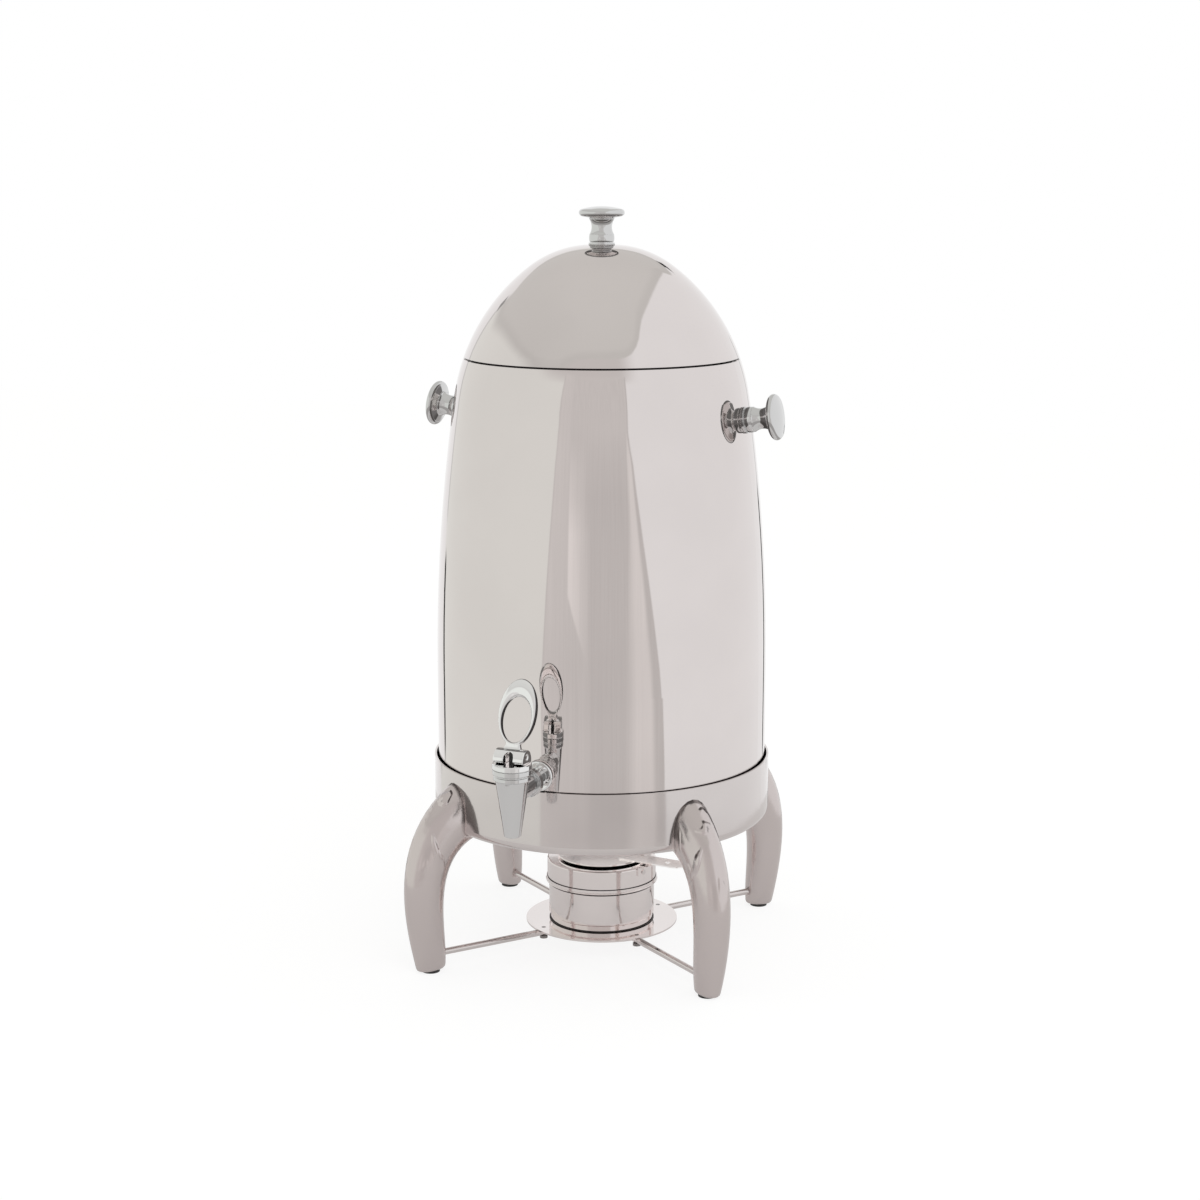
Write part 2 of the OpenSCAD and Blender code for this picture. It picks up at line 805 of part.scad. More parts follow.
module inner_seal() {
    color(SEAL) intersection() {
        cylinder(r = barrel_r - wall_t, h = belly_z, $fn = fine);
        translate([0, 0, shank_z]) difference() {
            spoke(nut_r - 1, wall_y - wall_t - inner_seal_t, wall_y);
            spoke(shank_r + touch, wall_y - 10, wall_y + 1);
        }
    }
}

module lock_nut() {
    nut_y = wall_y - wall_t - inner_seal_t;
    color(CHROME) translate([0, 0, shank_z]) difference() {
        translate([0, -nut_y + nut_h, 0]) rotate([90, 0, 0]) cylinder(r = nut_r, h = nut_h, $fn = 6);
        spoke(shank_r + fit, nut_y - nut_h - 1, nut_y + 1);
    }
}

// Half section of the faucet's body, without its bores
module body_area() {
    polygon([
        [0, spout_z], [spout_r - 0.6, spout_z], [spout_r, spout_z + 0.6], [body_r, collar_z],
        [body_r + 1.6, collar_z + 1.2], [body_r + 1.6, collar_z + 4], [body_r + 1, collar_z + 4.6],
        [body_r + 1, collar_z + 5.4], [body_r + 2.4, collar_z + 6.2], [body_r + 2.4, body_top], [0, body_top]
    ]);
}

module faucet_body() {
    boss_r = shank_r + 2;
    collar_w = 10;
    color(CHROME) difference() {
        union() {
            translate([0, -spout_y, 0]) turned() body_area();
            translate([0, 0, shank_z]) spoke(boss_r, body_back, spout_y);
            translate([0, 0, shank_z]) spoke(boss_r + 1.2, body_back + 1, body_back + collar_w);
            translate([0, 0, shank_z]) spoke(boss_r + 2.4, body_back + 2.5, body_back + collar_w - 1.5);
        }
        translate([0, -spout_y, spout_z - 1]) cylinder(r = water_r, h = body_top - spout_z, $fn = small);
        translate([0, -spout_y, valve_z]) cylinder(r = chamber_r, h = body_top, $fn = small);
        translate([0, 0, shank_z]) spoke(shank_r + fit, body_back - 1, body_back + socket_in);
        translate([0, 0, shank_z]) spoke(water_r, body_back, spout_y);
    }
}

module bonnet() {
    edge = 0.8;
    color(CHROME) translate([0, -spout_y, 0]) difference() {
        turned() {
            polygon([
                [0, body_top], [bonnet_r - edge, body_top], [bonnet_r, body_top + edge],
                [bonnet_r, bonnet_z - edge], [bonnet_r - edge, bonnet_z], [0, bonnet_z]
            ]);
            translate([0, body_top - plug_h]) square([chamber_r - fit, plug_h]);
        }
        translate([0, 0, body_top - plug_h - 1]) cylinder(r = stem_bore_r, h = bonnet_z, $fn = small);
        translate([0, 0, body_top - 5]) difference() {
            cylinder(r = chamber_r + 1, h = 2, $fn = small);
            translate([0, 0, -1]) cylinder(r = chamber_r - 1.5, h = 4, $fn = small);
        }
    }
}

module bonnet_seal() {
    color(SEAL) translate([0, -spout_y, body_top - 4]) turned()
        translate([chamber_r - 0.8, 0]) circle(0.7, $fn = small);
}

module closing_spring() {
    low = spring_bottom + wire_r + touch;
    high = spring_top - wire_r - touch;
    steps = spring_turns * spring_steps;
    color(STEEL) translate([0, -spout_y, 0]) skin([for (j = [0 : steps]) let(
            a = 360 * j / spring_steps,
            z = low + (high - low) * j / steps
        ) [for (i = [0 : spring_sides - 1]) let(b = -360 * i / spring_sides, r = spring_r + wire_r * cos(b))
            [r * cos(a), r * sin(a), z + wire_r * sin(b)]]]);
}

module valve_stem() {
    foot = valve_z + cup_seal_h;
    color(CHROME) translate([0, -spout_y, 0]) difference() {
        union() {
            translate([0, 0, foot - 4]) cylinder(r = stem_r, h = stem_top - foot + 4, $fn = small);
            translate([0, 0, foot]) cylinder(r = stem_collar_r, h = stem_collar_h, $fn = small);
        }
        for (side = [0, 180])
            rotate([0, 0, side]) translate([eye_t / 2, -stem_r - 1, bonnet_z + valve_lift + 1])
                cube([stem_r, 2 * stem_r + 2, past]);
        translate([-stem_r - 1, 0, pin_z]) rotate([0, 90, 0])
            cylinder(r = pin_r + fit, h = 2 * stem_r + 2, $fn = small);
    }
}

// Silicone cup that closes on the valve seat
module seat_cup() {
    color(SEAL) translate([0, -spout_y, valve_z]) difference() {
        cylinder(r1 = water_r + 1.2, r2 = cup_seal_r, h = cup_seal_h, $fn = small);
        translate([0, 0, cup_seal_h - 4]) cylinder(r = stem_r, h = 5, $fn = small);
    }
}

// Heel of the lever: its distance from the pin grows evenly with the tilt, so its flank is an involute
function heel_point(a) = let(h = heel_r + lift_rate * a * PI / 180)
    [-h * sin(a) - lift_rate * cos(a), -h * cos(a) + lift_rate * sin(a)];

// Side of the hub: a round back, a flat sole on the bonnet and the involute heel in front
module lever_side() {
    last = heel_point(lever_tilt);
    far = 3 * hub_r;
    intersection() {
        translate([0, -hub_drop]) circle(hub_r, $fn = small);
        polygon(concat([[far, far], [far, -heel_r]], [for (i = [0 : 9]) heel_point(lever_tilt * i / 9)],
            [last + far * [-cos(lever_tilt), sin(lever_tilt)], [-far, far]]));
    }
}

// One ring of the lever's loop, an ellipse between the outer and the inner outline, from the pin
function loop_ring(a) = let(
        outer = [loop_w * sin(a), loop_bottom + loop_h + loop_h * cos(a)],
        inner = [loop_eye.x * sin(a), loop_bottom + loop_foot + loop_eye.y + loop_eye.y * cos(a)],
        centre = (outer + inner) / 2,
        half = (outer - inner) / 2
    ) [for (i = [0 : loop_sides - 1]) let(b = 360 * i / loop_sides, p = centre + cos(b) * half)
        [p.x, loop_t * sin(b), p.y]];

// Web between hub and loop, narrower toward the loop
module lever_neck() {
    top = loop_bottom + 0.7 * loop_foot;
    rotate([90, 0, 0]) translate([0, 0, -0.8 * loop_t]) linear_extrude(1.6 * loop_t)
        polygon([[-hub_r, 0], [hub_r, 0], [0.6 * hub_r, top], [-0.6 * hub_r, top]]);
}

module lever() {
    color(CHROME) translate([0, -spout_y, pin_z]) difference() {
        union() {
            rotate([-loop_lean, 0, 0]) {
                skin([for (j = [0 : loop_steps - 1]) loop_ring(360 * j / loop_steps)], closed = true);
                lever_neck();
            }
            translate([-hub_w / 2, 0, 0]) rotate([90, 0, 90]) linear_extrude(hub_w) lever_side();
        }
        translate([-slot_w / 2, -past, -past]) cube([slot_w, 2 * past, past + 0.3]);
        translate([0, past, 0.3]) rotate([90, 0, 0]) cylinder(r = slot_w / 2, h = 2 * past, $fn = small);
        translate([-hub_w, 0, 0]) rotate([0, 90, 0]) cylinder(r = pin_r + 0.02, h = 2 * hub_w, $fn = small);
        for (side = [0, 180])
            rotate([0, 0, side]) translate([hub_w / 2 - pin_seat_in, 0, 0]) rotate([0, 90, 0])
                cylinder(r = pin_seat_r, h = past, $fn = small);
    }
}

module lever_pin() {
    pin_w = hub_w - pin_seat_in;
    color(CHROME) translate([-pin_w / 2, -spout_y, pin_z]) rotate([0, 90, 0])
        cylinder(r = pin_r, h = pin_w, $fn = small);
}

// ---- Lid ----

module lid_shell() {
    color(STEEL) difference() {
        turned() difference() {
            profile_area(0, lid_z, apex_z + 1);
            profile_area(lid_t, lid_z - 1, apex_z + 1);
        }
        translate([0, 0, apex_z - 10]) cylinder(r = knob_screw_r + touch, h = 20, $fn = small);
    }
}

// Ring inside the lid: a skirt that enters the mouth, a seat on the ledge and a riser to the shell
module lid_collar() {
    color(STEEL) turned() {
        translate([skirt_r - lid_t, rim_z - skirt_h]) square([lid_t, skirt_h + lid_t]);
        translate([skirt_r - lid_t, rim_z]) square([lid_seat_w, lid_t]);
        intersection() {
            profile_area(lid_t + fit, rim_z, apex_z);
            translate([lid_seat_r - lid_t, rim_z]) square([lid_t, past]);
        }
    }
}

module lid_knob() {
    color(CHROME) difference() {
        translate([0, 0, apex_z]) knob();
        outer_form();
    }
}

module knob_washer() {
    color(STEEL) translate([0, 0, apex_z]) fastener_washer(lid_t);
}

module knob_screw() {
    color(STEEL) translate([0, 0, apex_z]) knob_fastener(lid_t);
}

base_ring();
leg_front_left();
leg_front_right();
leg_back_right();
leg_back_left();
foot_pads();
leg_screws();
rod_front_left();
rod_front_right();
rod_back_right();
rod_back_left();
rod_screws();
burner_plate();
fuel_cup();
fuel_cover();
damper_bracket();
bracket_rivet();
damper_plate();
damper_handle();
damper_pivot();
vessel_wall();
vessel_bottom();
vessel_rim();
handle_left();
handle_right();
handle_washers();
handle_screws();
faucet_shank();
outer_seal();
inner_seal();
lock_nut();
faucet_body();
bonnet();
bonnet_seal();
closing_spring();
valve_stem();
seat_cup();
lever();
lever_pin();
lid_shell();
lid_collar();
lid_knob();
knob_washer();
knob_screw();
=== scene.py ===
"""Looks of the coffee urn: studio, camera, metal finishes and the small details the frame doesn't carry.

Everything is in metres, in the frame's own axes: +Z up, the faucet towards -Y.
"""
import json
import math

import bpy
import numpy as np
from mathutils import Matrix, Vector


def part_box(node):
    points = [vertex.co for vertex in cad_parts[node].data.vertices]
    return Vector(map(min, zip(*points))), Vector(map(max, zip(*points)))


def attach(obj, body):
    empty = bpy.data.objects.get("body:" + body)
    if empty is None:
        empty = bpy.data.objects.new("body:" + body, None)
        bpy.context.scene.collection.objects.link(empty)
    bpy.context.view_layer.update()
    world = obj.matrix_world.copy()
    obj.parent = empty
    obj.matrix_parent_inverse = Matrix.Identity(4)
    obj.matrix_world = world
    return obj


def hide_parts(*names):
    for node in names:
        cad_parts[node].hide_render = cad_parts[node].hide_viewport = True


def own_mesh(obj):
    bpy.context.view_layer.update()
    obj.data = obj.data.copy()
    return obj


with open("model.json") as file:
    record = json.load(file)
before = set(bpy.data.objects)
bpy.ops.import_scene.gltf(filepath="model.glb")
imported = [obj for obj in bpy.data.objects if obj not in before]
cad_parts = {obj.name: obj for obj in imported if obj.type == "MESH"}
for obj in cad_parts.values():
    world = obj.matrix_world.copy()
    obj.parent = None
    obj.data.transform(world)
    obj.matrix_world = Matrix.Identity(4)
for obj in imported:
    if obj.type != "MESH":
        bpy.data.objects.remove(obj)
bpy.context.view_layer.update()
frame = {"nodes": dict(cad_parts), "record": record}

# ---- Camera: where the photographer stood, fitted to the urn's seams, ring and feet in the photo ----

CAMERA_AZIMUTH = math.radians(21)
CAMERA_DISTANCE = 2.0274
CAMERA_HEIGHT = 0.7201
CAMERA_PITCH = math.radians(11.17)
CAMERA_YAW = 0.00075
CAMERA_LENS = 68.39
SENSOR = 36.0
FARTHEST_SEEN = 50

TO_CAMERA = Vector((math.sin(CAMERA_AZIMUTH), -math.cos(CAMERA_AZIMUTH), 0))
TO_RIGHT = Vector((math.cos(CAMERA_AZIMUTH), math.sin(CAMERA_AZIMUTH), 0))


def make_camera():
    data = bpy.data.cameras.new("camera")
    data.sensor_width = SENSOR
    data.lens = CAMERA_LENS
    data.clip_end = FARTHEST_SEEN
    camera = bpy.data.objects.new("camera", data)
    bpy.context.collection.objects.link(camera)
    camera.location = TO_CAMERA * CAMERA_DISTANCE + Vector((0, 0, CAMERA_HEIGHT))
    camera.rotation_euler = (math.pi / 2 - CAMERA_PITCH, 0, CAMERA_AZIMUTH + CAMERA_YAW)
    bpy.context.scene.camera = camera


# ---- Node helpers ----

# Most of a noise texture lies between these
NOISE_LOW = 0.3
NOISE_HIGH = 0.7


class Graph:
    """A node tree with short calls for the few node types used here."""

    def __init__(self, tree):
        self.tree = tree
        tree.nodes.clear()

    def add(self, kind, **settings):
        node = self.tree.nodes.new(kind)
        for name, value in settings.items():
            setattr(node, name, value)
        return node

    def set(self, socket, value):
        """Links a socket, or sets a number or colour; None leaves the input as it is."""
        if isinstance(value, bpy.types.NodeSocket):
            self.tree.links.new(value, socket)
        elif value is not None:
            if isinstance(value, (tuple, list)) and len(value) == 3 and socket.type == "RGBA":
                value = (*value, 1)
            socket.default_value = value

    def math(self, operation, *values):
        node = self.add("ShaderNodeMath", operation=operation)
        for socket, value in zip(node.inputs, values):
            self.set(socket, value)
        return node.outputs[0]

    def plus(self, a, b):
        return self.math("ADD", a, b)

    def minus(self, a, b):
        return self.math("SUBTRACT", a, b)

    def times(self, first, *others):
        for other in others:
            first = self.math("MULTIPLY", first, other)
        return first

    def blend(self, factor, a, b):
        """a where the factor is 0, b where it is 1, for plain numbers."""
        return self.plus(self.times(factor, self.minus(b, a)), a)

    def dot(self, vector, direction):
        node = self.add("ShaderNodeVectorMath", operation="DOT_PRODUCT")
        self.set(node.inputs[0], vector)
        node.inputs[1].default_value = direction
        return node.outputs["Value"]

    def scaled(self, colour, level):
        node = self.add("ShaderNodeVectorMath", operation="SCALE")
        node.inputs[0].default_value = colour
        self.set(node.inputs["Scale"], level)
        return node.outputs[0]

    def smooth(self, value, none, full):
        """0 on the none side, 1 on the full side, smooth between."""
        node = self.add("ShaderNodeMapRange", interpolation_type="SMOOTHSTEP")
        self.set(node.inputs["Value"], value)
        self.set(node.inputs["From Min"], none)
        self.set(node.inputs["From Max"], full)
        return node.outputs[0]

    def line(self, value, start, end):
        """A straight line from start to end, each an input and an output, and level beyond them."""
        node = self.add("ShaderNodeMapRange")
        self.set(node.inputs["Value"], value)
        names = ("From Min", "To Min", "From Max", "To Max")
        for name, number in zip(names, (*start, *end)):
            node.inputs[name].default_value = number
        return node.outputs[0]

    def curve(self, value, stops):
        """A smooth line through stops, each an input and an output."""
        ins = [stop[0] for stop in stops]
        outs = [stop[1] for stop in stops]
        low, high = min(outs), max(outs)
        node = self.add("ShaderNodeFloatCurve")
        points = node.mapping.curves[0].points
        for _ in stops[2:]:
            points.new(0.5, 0.5)
        for point, (at, out) in zip(points, stops):
            point.location = ((at - ins[0]) / (ins[-1] - ins[0]), (out - low) / (high - low))
        node.mapping.update()
        self.set(node.inputs["Value"], self.line(value, (ins[0], 0), (ins[-1], 1)))
        return self.line(node.outputs[0], (0, low), (1, high))

    def mix(self, factor, a, b):
        """a where the factor is 0, b where it is 1, for colours."""
        node = self.add("ShaderNodeMix", data_type="RGBA")
        self.set(node.inputs["Factor"], factor)
        self.set(node.inputs[6], a)
        self.set(node.inputs[7], b)
        return node.outputs[2]

    def mix_shaders(self, factor, a, b):
        node = self.add("ShaderNodeMixShader")
        for socket, value in zip(node.inputs, (factor, a, b)):
            self.set(socket, value)
        return node.outputs[0]

    def object_height(self):
        place = self.add("ShaderNodeSeparateXYZ")
        self.set(place.inputs[0], self.add("ShaderNodeTexCoord").outputs["Object"])
        return place.outputs["Z"]

    def noise(self, scale, detail, stretch=(1, 1, 1)):
        place = self.add("ShaderNodeMapping")
        self.set(place.inputs["Vector"], self.add("ShaderNodeTexCoord").outputs["Object"])
        place.inputs["Scale"].default_value = stretch
        node = self.add("ShaderNodeTexNoise")
        self.set(node.inputs["Vector"], place.outputs[0])
        node.inputs["Scale"].default_value = scale
        node.inputs["Detail"].default_value = detail
        return node.outputs["Fac"]

    def bump(self, height, distance, normal=None):
        node = self.add("ShaderNodeBump")
        self.set(node.inputs["Height"], height)
        node.inputs["Distance"].default_value = distance
        node.inputs["Strength"].default_value = 1.0
        self.set(node.inputs["Normal"], normal)
        return node.outputs[0]

    def finish(self, kind, surface):
        self.set(self.add(kind).inputs["Surface"], surface)


def new_material(name):
    material = bpy.data.materials.new(name)
    material.use_nodes = True
    return material, Graph(material.node_tree)


# ---- Studio ----

# The studio is drawn by direction, in degrees: azimuth from the camera to the right, elevation from level up.
# A pair of points makes a line, each an input and an output. A pair of numbers is where a zone starts to fade
# in and where it is full. Levels are shares of full white, as mirror-polished steel shows them.

RIGHT_PANEL = (1.0, 1.0, 1.0)
LEFT_PANEL = (0.925, 0.936, 0.90)
CEILING = (0.765, 0.76, 0.735)
BACKDROP = (1.0, 1.0, 1.0)
GAP = (0.03, 0.03, 0.03)
BELOW = (0.50, 0.48, 0.47)
OPENING_TINT = (1.03, 1.0, 0.98)

# Where the left panel turns into the right one, by azimuth, and where the dark below takes over, by elevation
RIGHT_PANEL_FADE = (4, 21)
BELOW_FADE = (-15, -22)
# Top edge of the panels, elevation by azimuth, and its softness, degrees by azimuth
PANEL_TOP = [
    (-180, 28), (-157, 25), (-146, 21), (-137, 21.5), (-125, 25), (-111, 29), (-97, 30.7), (-84, 30.7),
    (-70, 30), (-58, 29.5), (-45, 31), (-32, 36), (-15, 39.8), (10, 40.4), (22, 40.6), (30, 42.5), (36, 45.2),
    (42, 49), (49, 53.5), (56, 57), (63, 58.9), (70, 59.8), (80, 60.3), (91, 60), (105, 58.2), (115, 55.7),
    (125, 52), (133, 47.7), (140, 42.7), (146, 37.5), (154, 28.2), (165, 27), (180, 28)
]
PANEL_TOP_BLUR = ((-70, 3.0), (-10, 0.8))
# Ceiling: light by elevation, and a darker rim that comes in from 7 to 2 degrees above the panels' top
CEILING_LIGHT = ((35, 0.985), (75, 1.035))
CEILING_RIM_FADE = (-7, -2)
CEILING_RIM_SHADE = -0.06
# Lintel over the front opening
LINTEL = 0.715
LINTEL_LEFT_FADE = (-62, -42)
LINTEL_RIGHT_FADE = (34, 13)
LINTEL_BOTTOM_FADE = (24, 30)
# Backdrop behind the urn, from an azimuth on either side and up to an elevation
BACKDROP_SIDE_FADE = (143, 148)
BACKDROP_TOP_FADE = (27, 25)
# Dark uprights beside the backdrop: azimuth, half width, lowest and highest elevation, darkness
UPRIGHTS = (
    (-143.5, 2.0, -14.5, -8.5, 1),
    (-145.5, 1.6, -6, 18, 0.25),
    (-146, 2.5, 19.5, 22, 0.6),
    (157.5, 2.2, -14.5, -7, 1),
    (158.5, 3.5, 24.5, 27.5, 1),
    (158.5, 1.6, -6, 4, 0.3)
)

# Front opening: azimuth of its leaning edges by elevation, and a slight lean of the left edge near the top
OPENING_LEFT = ((9, -32.5), (-13, -42))
OPENING_LEFT_LEAN = ((12, 0), (28, 1.2))
OPENING_RIGHT = ((8.5, 19.7), (-15.5, 44.3))
OPENING_SIDE_FADE = (-0.3, 0.4)
OPENING_TOP_FADE = (29.2, 28.0)
# Its left part: level by degrees from the left edge, a little lighter higher up
STRIPE_LEVEL = ((3, 0.76), (23, 0.715))
STRIPE_LIFT = ((-10, 0), (-3, 0.01))
# A slanting edge ends that part: azimuth and softness by elevation
WEDGE_EDGE = ((-5, -23.2), (-10.2, -11.3))
WEDGE_BLUR = ((-9, 0.6), (-13, 6))
# Its middle: level by elevation, and a glow that fades by azimuth and grows downward
CENTRE_LEVEL = ((9, 0.735), (3, 0.675))
GLOW_ACROSS = ((-22.5, 1), (-7.5, 0))
GLOW_DOWN = ((8, 0), (0, 0.27))
# A lighter band on the right: where it starts, how softly, and its level, all by elevation
BAND_START = ((0, 17.6), (-12, 14.5))
BAND_BLUR = ((6, 1.6), (-12, 11))
BAND_LEVEL = ((-3, 0.87), (-15, 0.84))
# Darker hems at its two edges: width on the right by elevation, width on the left as a fade
RIGHT_HEM = ((6, 1.6), (-15, 9.5))
RIGHT_HEM_LEVEL = 0.67
LEFT_HEM_FADE = (1.3, 0.4)
LEFT_HEM_LEVEL = 0.70
# Its backcloth hangs in soft folds
FOLDS_PER_DEGREE = 0.22
FOLD_CHANGE_PER_DEGREE = 0.02
FOLD_DEPTH = 0.022

# Strength of the studio in reflections of reflections: dark where two pieces face each other
SECOND_BOUNCE = 0.33
SECOND_BOUNCE_RIGHT = 0.25
DEEPER_BOUNCE = 1.5
# Azimuths of the studio's right side
RIGHT_START_FADE = (12, 35)
RIGHT_END_FADE = (160, 130)
# Elevations at which second reflections keep full strength
FULL_START_FADE = (12, 15)
FULL_END_FADE = (26, 22)


def opening_level(g, azimuth, elevation, from_left, from_right):
    """Level inside the front opening; the last two are degrees from its edges."""
    stripe = g.plus(g.line(from_left, *STRIPE_LEVEL), g.line(elevation, *STRIPE_LIFT))
    glow = g.times(g.line(azimuth, *GLOW_ACROSS), g.line(elevation, *GLOW_DOWN))
    centre = g.plus(g.line(elevation, *CENTRE_LEVEL), glow)
    past_wedge = g.minus(azimuth, g.line(elevation, *WEDGE_EDGE))
    blur = g.line(elevation, *WEDGE_BLUR)
    level = g.blend(g.smooth(past_wedge, g.times(blur, -1), blur), stripe, centre)
    band = g.line(elevation, *BAND_START)
    band_full = g.plus(band, g.line(elevation, *BAND_BLUR))
    level = g.blend(g.smooth(azimuth, band, band_full), level, g.line(elevation, *BAND_LEVEL))
    hem = g.line(elevation, *RIGHT_HEM)
    level = g.blend(g.smooth(from_right, hem, g.times(hem, 0.5)), level, RIGHT_HEM_LEVEL)
    level = g.blend(g.smooth(from_left, *LEFT_HEM_FADE), level, LEFT_HEM_LEVEL)
    return g.plus(level, cloth_folds(g, azimuth, elevation))


def cloth_folds(g, azimuth, elevation):
    place = g.add("ShaderNodeCombineXYZ")
    g.set(place.inputs["X"], g.times(azimuth, FOLDS_PER_DEGREE))
    g.set(place.inputs["Y"], g.times(elevation, FOLD_CHANGE_PER_DEGREE))
    cloth = g.add("ShaderNodeTexNoise")
    g.set(cloth.inputs["Vector"], place.outputs[0])
    cloth.inputs["Detail"].default_value = 2
    return g.line(cloth.outputs["Fac"], (NOISE_LOW, -FOLD_DEPTH), (NOISE_HIGH, FOLD_DEPTH))


def front_opening(g, azimuth, elevation):
    """Colour of the opening in front, and a mask of where it is."""
    left = g.plus(g.line(elevation, *OPENING_LEFT), g.line(elevation, *OPENING_LEFT_LEAN))
    from_left = g.minus(azimuth, left)
    from_right = g.minus(g.line(elevation, *OPENING_RIGHT), azimuth)
    level = opening_level(g, azimuth, elevation, from_left, from_right)
    sides = g.times(g.smooth(from_left, *OPENING_SIDE_FADE), g.smooth(from_right, *OPENING_SIDE_FADE))
    return g.scaled(OPENING_TINT, level), g.times(sides, g.smooth(elevation, *OPENING_TOP_FADE))


def panels_and_ceiling(g, azimuth, elevation):
    panels = g.mix(g.smooth(azimuth, *RIGHT_PANEL_FADE), LEFT_PANEL, RIGHT_PANEL)
    lintel = g.times(
        g.smooth(azimuth, *LINTEL_LEFT_FADE),
        g.smooth(azimuth, *LINTEL_RIGHT_FADE),
        g.smooth(elevation, *LINTEL_BOTTOM_FADE)
    )
    panels = g.mix(lintel, panels, tuple(LINTEL * c for c in OPENING_TINT))
    below_top = g.minus(g.curve(azimuth, PANEL_TOP), elevation)
    rim = g.times(g.smooth(below_top, *CEILING_RIM_FADE), CEILING_RIM_SHADE)
    ceiling = g.scaled(CEILING, g.plus(g.line(elevation, *CEILING_LIGHT), rim))
    blur = g.line(azimuth, *PANEL_TOP_BLUR)
    return g.mix(g.smooth(below_top, g.times(blur, -1), blur), ceiling, panels)


def upright(g, azimuth, elevation, centre, half, low, high, darkness):
    """How much of an upright lies in this direction; its numbers are those of UPRIGHTS."""
    off = g.math("ABSOLUTE", g.minus(azimuth, centre))
    across = g.smooth(off, half, half * 0.5)
    return g.times(across, g.smooth(elevation, low - 1, low), g.smooth(elevation, high + 1, high), darkness)


def studio_colour(g, azimuth, elevation):
    colour = panels_and_ceiling(g, azimuth, elevation)
    opening, in_opening = front_opening(g, azimuth, elevation)
    colour = g.mix(in_opening, colour, opening)
    beside = g.smooth(g.math("ABSOLUTE", azimuth), *BACKDROP_SIDE_FADE)
    colour = g.mix(g.times(beside, g.smooth(elevation, *BACKDROP_TOP_FADE)), colour, BACKDROP)
    for numbers in UPRIGHTS:
        colour = g.mix(upright(g, azimuth, elevation, *numbers), colour, GAP)
    return g.mix(g.smooth(elevation, *BELOW_FADE), colour, BELOW)


def studio_strength(g, azimuth, elevation, bounces):
    """1 in a first reflection, less in a second one and more in deeper ones."""
    kept = g.times(g.smooth(elevation, *FULL_START_FADE), g.smooth(elevation, *FULL_END_FADE))
    right = g.times(g.smooth(azimuth, *RIGHT_START_FADE), g.smooth(azimuth, *RIGHT_END_FADE))
    change = g.blend(right, SECOND_BOUNCE - 1, SECOND_BOUNCE_RIGHT - 1)
    change = g.times(g.minus(1, kept), change)
    second = g.times(g.math("COMPARE", bounces, 2, 0.1), change)
    deeper = g.times(g.math("GREATER_THAN", bounces, 2.5), DEEPER_BOUNCE - 1)
    return g.plus(g.plus(second, deeper), 1)


def make_world():
    """White to the camera; to everything else two pale panels, a grey opening in front and a grey ceiling."""
    world = bpy.data.worlds.new("studio")
    bpy.context.scene.world = world
    world.use_nodes = True
    g = Graph(world.node_tree)
    ray = g.add("ShaderNodeTexCoord").outputs["Generated"]
    per_radian = 180 / math.pi
    across = g.math("ARCTAN2", g.dot(ray, TO_RIGHT), g.dot(ray, TO_CAMERA))
    azimuth = g.times(across, per_radian)
    elevation = g.times(g.math("ARCSINE", g.dot(ray, (0, 0, 1))), per_radian)
    path = g.add("ShaderNodeLightPath")
    studio = g.add("ShaderNodeBackground")
    g.set(studio.inputs["Color"], studio_colour(g, azimuth, elevation))
    strength = studio_strength(g, azimuth, elevation, path.outputs["Glossy Depth"])
    g.set(studio.inputs["Strength"], strength)
    white = g.add("ShaderNodeBackground")
    white.inputs["Color"].default_value = (1, 1, 1, 1)
    seen = g.mix_shaders(path.outputs["Is Camera Ray"], studio.outputs[0], white.outputs[0])
    g.finish("ShaderNodeOutputWorld", seen)


FLOOR_SIZE = 8.0
FLOOR_PAINT = (0.95, 0.95, 0.95)
FLOOR_GLOW = (1.05, 1.05, 1.05)
FLOOR_GLOW_SHARE = 0.80


def make_floor():
    """A pale floor that stays white to the camera but keeps a soft shadow."""
    bpy.ops.mesh.primitive_plane_add(size=FLOOR_SIZE)
    floor = bpy.context.object
    floor.name = "floor"
    material, g = new_material("floor_white")
    paint = g.add("ShaderNodeBsdfDiffuse")
    g.set(paint.inputs["Color"], FLOOR_PAINT)
    glow = g.add("ShaderNodeEmission")
    g.set(glow.inputs["Color"], FLOOR_GLOW)
    share = g.times(g.add("ShaderNodeLightPath").outputs["Is Camera Ray"], FLOOR_GLOW_SHARE)
    g.finish("ShaderNodeOutputMaterial", g.mix_shaders(share, paint.outputs[0], glow.outputs[0]))
    floor.data.materials.append(material)
    floor.visible_glossy = False


TABLE_RADIUS = 0.55
TABLE_EDGES = 96
# Just above the floor, so that the two don't flicker
TABLE_Z = 0.0002
TABLE_PAINT = (0.40, 0.385, 0.38)
TABLE_GLOW = 0.42
TABLE_DEEP_GLOW = 0.6
# Glossy bounces over which the deep glow comes in
TABLE_DEEP_FADE = (1, 3)


